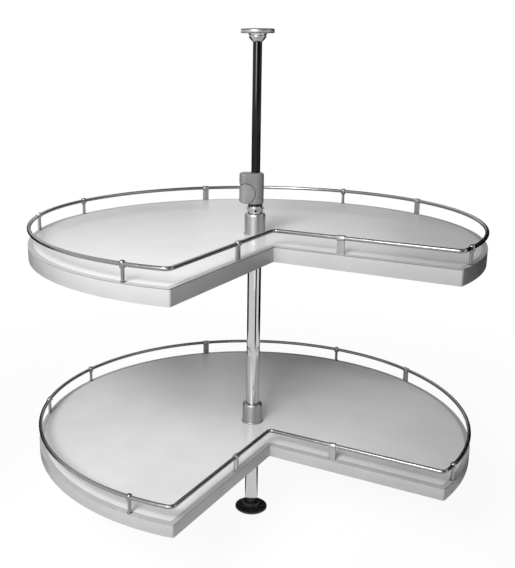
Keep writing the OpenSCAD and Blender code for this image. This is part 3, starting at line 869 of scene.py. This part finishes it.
class CAROUSEL_OT_hubs(bpy.types.Operator):
    """Turns the hubs with their rounded tops and flanges, and their trim rings"""

    bl_idname = "carousel.hubs"
    bl_label = "Hubs"

    def execute(self, context):
        pole = pole_sizes()
        for tray in TRAYS:
            under, top, flange = cad_sizes(f"{tray}_hub")
            flange_top = cad_bottom(f"{tray}_board")
            bore, lip, lip_height = pole.tube + 2 * MM, pole.tube + 0.5 * MM, 3 * MM
            fillet, corner = 2 * MM, pole.hub_round
            outline = [(bore, under), (flange, under), (flange, flange_top)]
            outline += [(pole.hub + fillet, flange_top), (pole.hub, flange_top + fillet)]
            outline += arc(pole.hub - corner, top - corner, corner, 0, 88, 10)
            outline += [(lip, top), (lip, top - lip_height), (bore, top - lip_height)]
            piece = turned(f"{tray}_turned_hub", outline)
            hole, hole_depth = 1.8 * MM, 4 * MM
            circle, start = flange - 13 * MM, (under + flange_top) / 2
            for degrees in (45, 135, 225, 315):
                drill(piece, hole, around(circle, degrees, start), hole_depth)
            soften(piece, pole.edge, angle=30)
            fit(piece, f"{tray}_tray", "hub_metal", satin_silver(), f"{tray}_hub")

            low, high, rim = cad_sizes(f"{tray}_hub_trim")
            outline = [(pole.hub, low), (rim, low), (rim, high - 0.9 * MM)]
            outline += [(rim - 0.5 * MM, high - 0.2 * MM), (rim - 0.9 * MM, high), (pole.hub, high)]
            ring = turned(f"{tray}_trim_ring", outline)
            soften(ring, TRIM_EDGE)
            fit(ring, f"{tray}_tray", "die_cast", zinc_casting(), f"{tray}_hub_trim")
        return {"FINISHED"}


class CAROUSEL_OT_collars(bpy.types.Operator):
    """Turns the support collars and bores them for their grub screws"""

    bl_idname = "carousel.collars"
    bl_label = "Support collars"

    def execute(self, context):
        pole = pole_sizes()
        for tray in TRAYS:
            node = f"{tray}_collar"
            low, high, rim = cad_sizes(node)
            bore, chamfer = pole.tube + 0.05 * MM, MM
            outline = [(bore, low), (rim - chamfer, low), (rim, low + chamfer)]
            outline += [(rim, high - chamfer), (rim - chamfer, high), (bore, high)]
            piece = turned(f"{tray}_set_collar", outline)
            # the grub screw's bore runs out from the pole's axis, in the screw's direction
            hole, past_rim, degrees = 2.55 * MM, 2 * rim, 300
            outline = [(0, 0), (hole, 0), (hole, past_rim), (0, past_rim)]
            cutter = turned("grub_bore", outline, sides=BORE_SIDES)
            cutter.data.transform(
                Matrix.Translation((0, 0, (low + high) / 2))
                @ Matrix.Rotation(math.radians(degrees), 4, "Z")
                @ Matrix.Rotation(math.radians(90), 4, "Y")
            )
            cut(piece, cutter)
            soften(piece, pole.edge)
            fit(piece, f"{tray}_support", "die_cast", zinc_casting(), node)
        return {"FINISHED"}


# ---- pole


# radius of the holes of the mounting screws, in the foot and in the top plate
SCREW_HOLE = 2.25 * MM


def pipe(name, radius, wall, low, high):
    """A round tube that stands on the pole's axis."""
    bore = radius - wall
    return turned(name, [(bore, low), (radius, low), (radius, high), (bore, high)])


class CAROUSEL_OT_foot(bpy.types.Operator):
    """Turns the foot's dome and drills it for its three screws"""

    bl_idname = "carousel.foot"
    bl_label = "Foot"

    def execute(self, context):
        pole = pole_sizes()
        rim, dome, top = pole.foot, pole.tube + 2.5 * MM, cad_top("foot_disc")
        # the disc's upper face, the bolt's bore, and the pocket for its head in the underside
        shoulder, bore, pocket, pocket_top = 6 * MM, 4 * MM, 8 * MM, 4 * MM
        outline = [(bore, pocket_top), (pocket, pocket_top), (pocket, 0)]
        outline += [(rim - 3 * MM, 0), (rim, 2.5 * MM)]
        # the disc's edge, the hollow sweep up to the dome, and the dome's lip
        outline += arc(rim - 1.5 * MM, shoulder - 1.5 * MM, 1.5 * MM, 0, 80, 5)
        outline += arc(dome + 8 * MM, top + 1.4 * MM, 7.2 * MM, 262, 190, 8)
        outline += arc(dome - MM, top - MM, MM, 20, 90, 4)
        outline += [(pole.tube, top), (pole.tube, shoulder), (bore, shoulder)]
        piece = turned("foot_dome", outline)
        circle, sink, sink_depth = 20 * MM, 4.2 * MM, 2.2 * MM
        for degrees in (0, 120, 240):
            place = around(circle, degrees, shoulder + sink_depth)
            drill(piece, SCREW_HOLE, place, 12 * MM, sink_radius=sink, sink_depth=sink_depth)
        soften(piece, FOOT_EDGE, angle=40)
        fit(piece, "pole", "black_plastic", black_plastic(), "foot_disc")
        return {"FINISHED"}


class CAROUSEL_OT_lower_tube(bpy.types.Operator):
    """Turns the chrome tube and the black bush in its top"""

    bl_idname = "carousel.lower_tube"
    bl_label = "Lower tube"

    def execute(self, context):
        pole = pole_sizes()
        low, tube_top = cad_bottom("pole_tube"), cad_top("pole_tube")
        piece = pipe("chrome_tube", pole.tube, pole.tube_wall, low, tube_top)
        soften(piece, pole.edge)
        fit(piece, "pole", "bright_chrome", bright_chrome(), "pole_tube")

        low, high, rim = cad_sizes("tube_top_bush")
        spigot, bore = pole.tube - pole.tube_wall, pole.rod + 1.5 * MM
        outline = [(bore, low), (spigot, low), (spigot, tube_top), (rim, tube_top)]
        # a moulded groove runs round the collar
        groove = rim - 0.5 * MM
        outline += [(rim, tube_top + 1.6 * MM), (groove, tube_top + 2 * MM)]
        outline += [(groove, tube_top + 2.6 * MM), (rim, tube_top + 3 * MM)]
        outline += [(rim, high), (bore, high)]
        bush = turned("black_bush", outline)
        soften(bush, BUSH_EDGE)
        fit(bush, "pole", "black_plastic", black_plastic(), "tube_top_bush")
        return {"FINISHED"}


class CAROUSEL_OT_stop_ring(bpy.types.Operator):
    """Breaks the edges of the lugged ring that stops the upper tray"""

    bl_idname = "carousel.stop_ring"
    bl_label = "Stop ring"

    def execute(self, context):
        piece = cad_copy("stop_ring", "lugged_stop_ring")
        soften(piece, STOP_RING_EDGE)
        fit(piece, "pole", "die_cast", zinc_casting(), "stop_ring")
        return {"FINISHED"}


class CAROUSEL_OT_clamp(bpy.types.Operator):
    """Breaks the edges of the clamp's housing and of the lever that lies flush in it"""

    bl_idname = "carousel.clamp"
    bl_label = "Clamp"

    def execute(self, context):
        housing = cad_copy("clamp_body", "clamp_housing")
        soften(housing, CLAMP_EDGE, segments=3, angle=40)
        grey = powder_coat("Grey powder coat", colours().clamp)
        fit(housing, "pole", "clamp_grey", grey, "clamp_body")
        lever = cad_copy("clamp_lever", "flush_lever")
        soften(lever, CLAMP_EDGE, segments=3, angle=40)
        lighter = powder_coat("Lighter grey powder coat", colours().lever)
        fit(lever, "lever", "clamp_grey", lighter, "clamp_lever")
        return {"FINISHED"}


class CAROUSEL_OT_rod_and_plate(bpy.types.Operator):
    """Turns the black inner rod, the cup and the top plate with its screw holes"""

    bl_idname = "carousel.rod_and_plate"
    bl_label = "Rod and top plate"

    def execute(self, context):
        pole = pole_sizes()
        low, high = cad_bottom("rod_tube"), cad_top("rod_tube")
        piece = pipe("gloss_rod", pole.rod, pole.rod_wall, low, high)
        soften(piece, pole.edge)
        fit(piece, "rod", "black_chrome", black_gloss(), "rod_tube")

        low, high, rim = cad_sizes("top_cup")
        screw, roof = 3 * MM, 4 * MM
        # a tapered mouth, a bead and a flare up to the plate, then the inside
        outline = [(pole.rod, low), (pole.rod + 0.9 * MM, low)]
        outline += [(pole.rod + 2.5 * MM, low + 1.5 * MM), (rim - 1.6 * MM, low + 5.2 * MM)]
        outline += arc(rim - 2.4 * MM, low + 7 * MM, 2 * MM, -40, 40, 6)
        outline += [(rim - 0.9 * MM, low + 9.2 * MM), (rim, low + 10.6 * MM), (rim, high)]
        outline += [(screw, high), (screw, high - roof), (pole.rod, high - roof)]
        cup = turned("chrome_cup", outline)
        soften(cup, CUP_EDGE, angle=30)
        fit(cup, "rod", "bright_chrome", bright_chrome(), "top_cup")

        low, high = cad_bottom("top_plate"), cad_top("top_plate")
        chamfer, sink, circle = 0.8 * MM, 6 * MM, 18.5 * MM
        outline = [(screw, low), (pole.plate - chamfer, low), (pole.plate, low + chamfer)]
        outline += [(pole.plate, high), (sink, high), (screw, high - (sink - screw))]
        plate = turned("top_flange", outline)
        for degrees in (60, 180, 300):
            drill(plate, SCREW_HOLE, around(circle, degrees, low), 8 * MM)
        soften(plate, pole.edge)
        fit(plate, "rod", "die_cast", zinc_casting(), "top_plate")
        return {"FINISHED"}


# ---- CAD nodes that stay


CAD_FINISHES = {
    "foot_bolt": zinc_plated_steel,
    "foot_plug": natural_plastic,
    "clamp_pin": zinc_plated_steel,
    "clamp_jaw": zinc_casting,
    "stop_ring_screw": black_oxide_steel,
    "rod_guide": natural_plastic,
    "top_screw": zinc_plated_steel,
    "top_pad": rubber_pad,
}
for _tray in TRAYS:
    CAD_FINISHES[f"{_tray}_board"] = melamine_board
    CAD_FINISHES[f"{_tray}_hub_bushes"] = natural_plastic
    CAD_FINISHES[f"{_tray}_flange_screws"] = zinc_plated_steel
    CAD_FINISHES[f"{_tray}_collar_screw"] = zinc_plated_steel
    CAD_FINISHES[f"{_tray}_thrust_washer"] = natural_plastic


class CAROUSEL_OT_cad_finishes(bpy.types.Operator):
    """Finishes the CAD nodes whose own shape is right"""

    bl_idname = "carousel.cad_finishes"
    bl_label = "Boards and fasteners"

    def execute(self, context):
        for node, finish in CAD_FINISHES.items():
            materials = frame["nodes"][node].data.materials
            materials.clear()
            materials.append(finish())
        return {"FINISHED"}


# ---- studio


# the photograph's camera, as its outlines give it: metres, degrees and pixels
CAMERA_PLACE = (0.61525, -1.16847, 0.75499)
CAMERA_TURN = (90 - 15.85, 0, 30.73)
FRAME_WIDTH, FRAME_HEIGHT = 515, 568
FOCAL_PIXELS = 840.28
CENTRE_X, CENTRE_Y = 212.14, 298.73

WHITE = (1, 1, 1, 1)
# the floor's side, and how far from the pole it starts and ends to fade, in metres
FLOOR_SIZE, FADE_START, FADE_END = 40, 0.5, 1.3
# the backdrop's share in the floor where the shadow shows
NEAR_WHITE = 0.93

# a stand is an azimuth and an elevation in degrees, and the distance from what it faces;
# a size is a width and a height, all in metres
MIDDLE, LOW, HIGH = (0, 0, 0.4), (0, 0, 0.35), (0, 0, 1.5)
KEY_STAND, KEY_SIZE, KEY_SPREAD = (-79, 34, 1.7, (-0.18, -0.06, 0.33)), 0.7, 75
FILL_STAND, FILL_SIZE, FILL_SPREAD = (-50, 12, 2.4, MIDDLE), 1.4, 180
FLAGS = {
    "right_flag": ((14, 0, 0.6, (0, 0, 0.55)), (0.9, 1.1)),
    "left_flag": ((212, 0, 0.62, MIDDLE), (0.8, 1.0)),
    "back_flag": ((96, 0, 0.46, (0, 0, 0.32)), (0.7, 0.24)),
}
CARDS = {
    "right_card": ((-30, 0, 1.0, LOW), (0.42, 0.7)),
    "high_right_card": ((-24, 30, 2.0, (0, 0, 0.5)), (1.8, 1.2)),
    "back_card": ((70, 0, 1.0, LOW), (2.2, 0.7)),
    "left_card": ((164, 0, 1.0, LOW), (1.6, 0.7)),
    "floor_card": ((118, 89.9, 2 * MM, (-0.2, 0.376, 0)), (1.6, 0.8)),
    "high_card": ((72, 0, 2.4, HIGH), (3.0, 1.4)),
    "top_card": ((100, 78, 1.8, MIDDLE), (2.4, 1.6)),
}


def facing(azimuth, elevation, distance, target):
    """Where something stands that faces a target from a direction, and how it is turned."""
    a, e = math.radians(azimuth), math.radians(elevation)
    towards = Vector((math.cos(a) * math.cos(e), math.sin(a) * math.cos(e), math.sin(e)))
    return Vector(target) + towards * distance, towards.to_track_quat("Z", "Y").to_euler()


def soft_light(name, stand, size, watts, spread):
    """A square soft light, whose spread is narrowed as a grid in front of it does."""
    place, turn = facing(*stand)
    bpy.ops.object.light_add(type="AREA", location=place, rotation=turn)
    lamp = bpy.context.object
    lamp.name = name
    lamp.data.shape = "SQUARE"
    lamp.data.size = size
    lamp.data.energy = watts
    lamp.data.spread = math.radians(spread)


def card(name, stand, size):
    """A black card beside the camera's view, which gives the chrome its dark edges."""
    place, turn = facing(*stand)
    clear_selection()
    bpy.ops.mesh.primitive_plane_add(size=1, location=place, rotation=turn)
    piece = bpy.context.object
    piece.name = name
    piece.scale = (*size, 1)
    finish = bpy.data.materials.get("Black felt")
    if not finish:
        finish = bpy.data.materials.new("Black felt")
        tree = empty_tree(finish)
        felt = add_node(tree, "ShaderNodeBsdfDiffuse", [("Color", (0.01, 0.01, 0.01, 1))])
        add_node(tree, "ShaderNodeOutputMaterial", links=[("Surface", felt.outputs["BSDF"])])
    piece.data.materials.append(finish)
    piece.visible_camera = piece.visible_transmission = False
    piece.visible_diffuse = piece.visible_shadow = False
    return piece


def flag(name, stand, size):
    """A black card that keeps light off one side and that no mirror shows."""
    piece = card(name, stand, size)
    piece.visible_diffuse = piece.visible_shadow = True
    piece.visible_glossy = False


def seen_directly(tree):
    """1 for rays that meet the surface from the camera, or by way of metal or glass."""
    path = add_node(tree, "ShaderNodeLightPath")
    seen = path.outputs["Is Camera Ray"]
    for ray in ("Is Glossy Ray", "Is Transmission Ray"):
        links = [(0, seen), (1, path.outputs[ray])]
        seen = add_node(tree, "ShaderNodeMath", links=links, operation="MAXIMUM").outputs[0]
    return seen


class CAROUSEL_OT_studio(bpy.types.Operator):
    """Sets up the pale floor, the soft light and the camera of the photograph"""

    bl_idname = "carousel.studio"
    bl_label = "Studio"

    def execute(self, context):
        settings = context.scene.carousel_studio
        self.lay_floor(settings)
        self.light_world(settings)
        soft_light("key_light", KEY_STAND, KEY_SIZE, settings.key_watts, KEY_SPREAD)
        soft_light("fill_light", FILL_STAND, FILL_SIZE, settings.fill_watts, FILL_SPREAD)
        for name, (stand, size) in FLAGS.items():
            flag(name, stand, size)
        for name, (stand, size) in CARDS.items():
            card(name, stand, size)
        self.set_camera(context)
        context.scene.view_settings.view_transform = "Standard"
        return {"FINISHED"}

    def lay_floor(self, settings):
        clear_selection()
        bpy.ops.mesh.primitive_plane_add(size=FLOOR_SIZE)
        floor = bpy.context.object
        floor.name = "studio_floor"
        finish = bpy.data.materials.new("Pale studio floor")
        tree = empty_tree(finish)
        paint = add_node(
            tree, "ShaderNodeBsdfDiffuse", [("Color", (*settings.floor, 1)), ("Roughness", 1)]
        )
        glow = add_node(tree, "ShaderNodeEmission", [("Color", WHITE), ("Strength", 1)])
        # the shadow shows near the pole, and further out the floor runs into the white backdrop
        place = add_node(tree, "ShaderNodeTexCoord").outputs["Object"]
        away = add_node(tree, "ShaderNodeVectorMath", links=[(0, place)], operation="LENGTH")
        ends = [("From Min", FADE_START), ("From Max", FADE_END)]
        ends += [("To Min", NEAR_WHITE), ("To Max", 1)]
        links = [("Value", away.outputs["Value"])]
        fading = add_node(tree, "ShaderNodeMapRange", ends, links)
        links = [(0, seen_directly(tree)), (1, fading.outputs["Result"])]
        share = add_node(tree, "ShaderNodeMath", links=links, operation="MULTIPLY")
        links = [(0, share.outputs[0]), (1, paint.outputs[0]), (2, glow.outputs[0])]
        mix = add_node(tree, "ShaderNodeMixShader", links=links)
        add_node(tree, "ShaderNodeOutputMaterial", links=[("Surface", mix.outputs[0])])
        floor.data.materials.append(finish)

    def light_world(self, settings):
        world = bpy.data.worlds.new("White studio")
        bpy.context.scene.world = world
        tree = empty_tree(world)
        soft = [("Color", WHITE), ("Strength", settings.ambient)]
        lit = add_node(tree, "ShaderNodeBackground", soft)
        seen = add_node(tree, "ShaderNodeBackground", [("Color", WHITE), ("Strength", 1)])
        links = [(0, seen_directly(tree)), (1, lit.outputs[0]), (2, seen.outputs[0])]
        mix = add_node(tree, "ShaderNodeMixShader", links=links)
        add_node(tree, "ShaderNodeOutputWorld", links=[("Surface", mix.outputs[0])])

    def set_camera(self, context):
        turn = [math.radians(a) for a in CAMERA_TURN]
        bpy.ops.object.camera_add(location=CAMERA_PLACE, rotation=turn)
        camera = bpy.context.object
        camera.name = "photo_camera"
        long_side = max(FRAME_WIDTH, FRAME_HEIGHT)
        camera.data.lens = FOCAL_PIXELS * camera.data.sensor_width / long_side
        camera.data.shift_x = (FRAME_WIDTH / 2 - CENTRE_X) / long_side
        camera.data.shift_y = (CENTRE_Y - FRAME_HEIGHT / 2) / long_side
        camera.data.clip_end = 100
        context.scene.camera = camera


# ---- panel and registration


OPERATORS = (
    CAROUSEL_OT_tray_rims,
    CAROUSEL_OT_gallery_rails,
    CAROUSEL_OT_strip_posts,
    CAROUSEL_OT_pin_posts,
    CAROUSEL_OT_hubs,
    CAROUSEL_OT_collars,
    CAROUSEL_OT_foot,
    CAROUSEL_OT_lower_tube,
    CAROUSEL_OT_stop_ring,
    CAROUSEL_OT_clamp,
    CAROUSEL_OT_rod_and_plate,
    CAROUSEL_OT_cad_finishes,
    CAROUSEL_OT_studio,
)
GROUPS = {
    "carousel_tray": TraySizes,
    "carousel_pole": PoleSizes,
    "carousel_colours": FinishColours,
    "carousel_studio": StudioSettings,
}


class CAROUSEL_PT_pieces(bpy.types.Panel):
    """The carousel's pieces, in the order in which they are made"""

    bl_idname = "CAROUSEL_PT_pieces"
    bl_label = "Corner carousel"
    bl_space_type = "VIEW_3D"
    bl_region_type = "UI"
    bl_category = "Carousel"

    def draw(self, context):
        for group in GROUPS:
            settings = getattr(context.scene, group)
            for name in settings.bl_rna.properties.keys():
                if name not in ("rna_type", "name"):
                    self.layout.prop(settings, name)
        for operator in OPERATORS:
            self.layout.operator(operator.bl_idname)


def register():
    for kind in (*GROUPS.values(), *OPERATORS, CAROUSEL_PT_pieces):
        bpy.utils.register_class(kind)
    for name, group in GROUPS.items():
        setattr(bpy.types.Scene, name, bpy.props.PointerProperty(type=group))


def unregister():
    for name in GROUPS:
        delattr(bpy.types.Scene, name)
    for kind in (CAROUSEL_PT_pieces, *reversed(OPERATORS), *reversed(GROUPS.values())):
        bpy.utils.unregister_class(kind)


def main():
    """Makes every piece in order."""
    register()
    for operator in OPERATORS:
        group, name = operator.bl_idname.split(".")
        getattr(getattr(bpy.ops, group), name)()


if __name__ == "__main__":
    main()
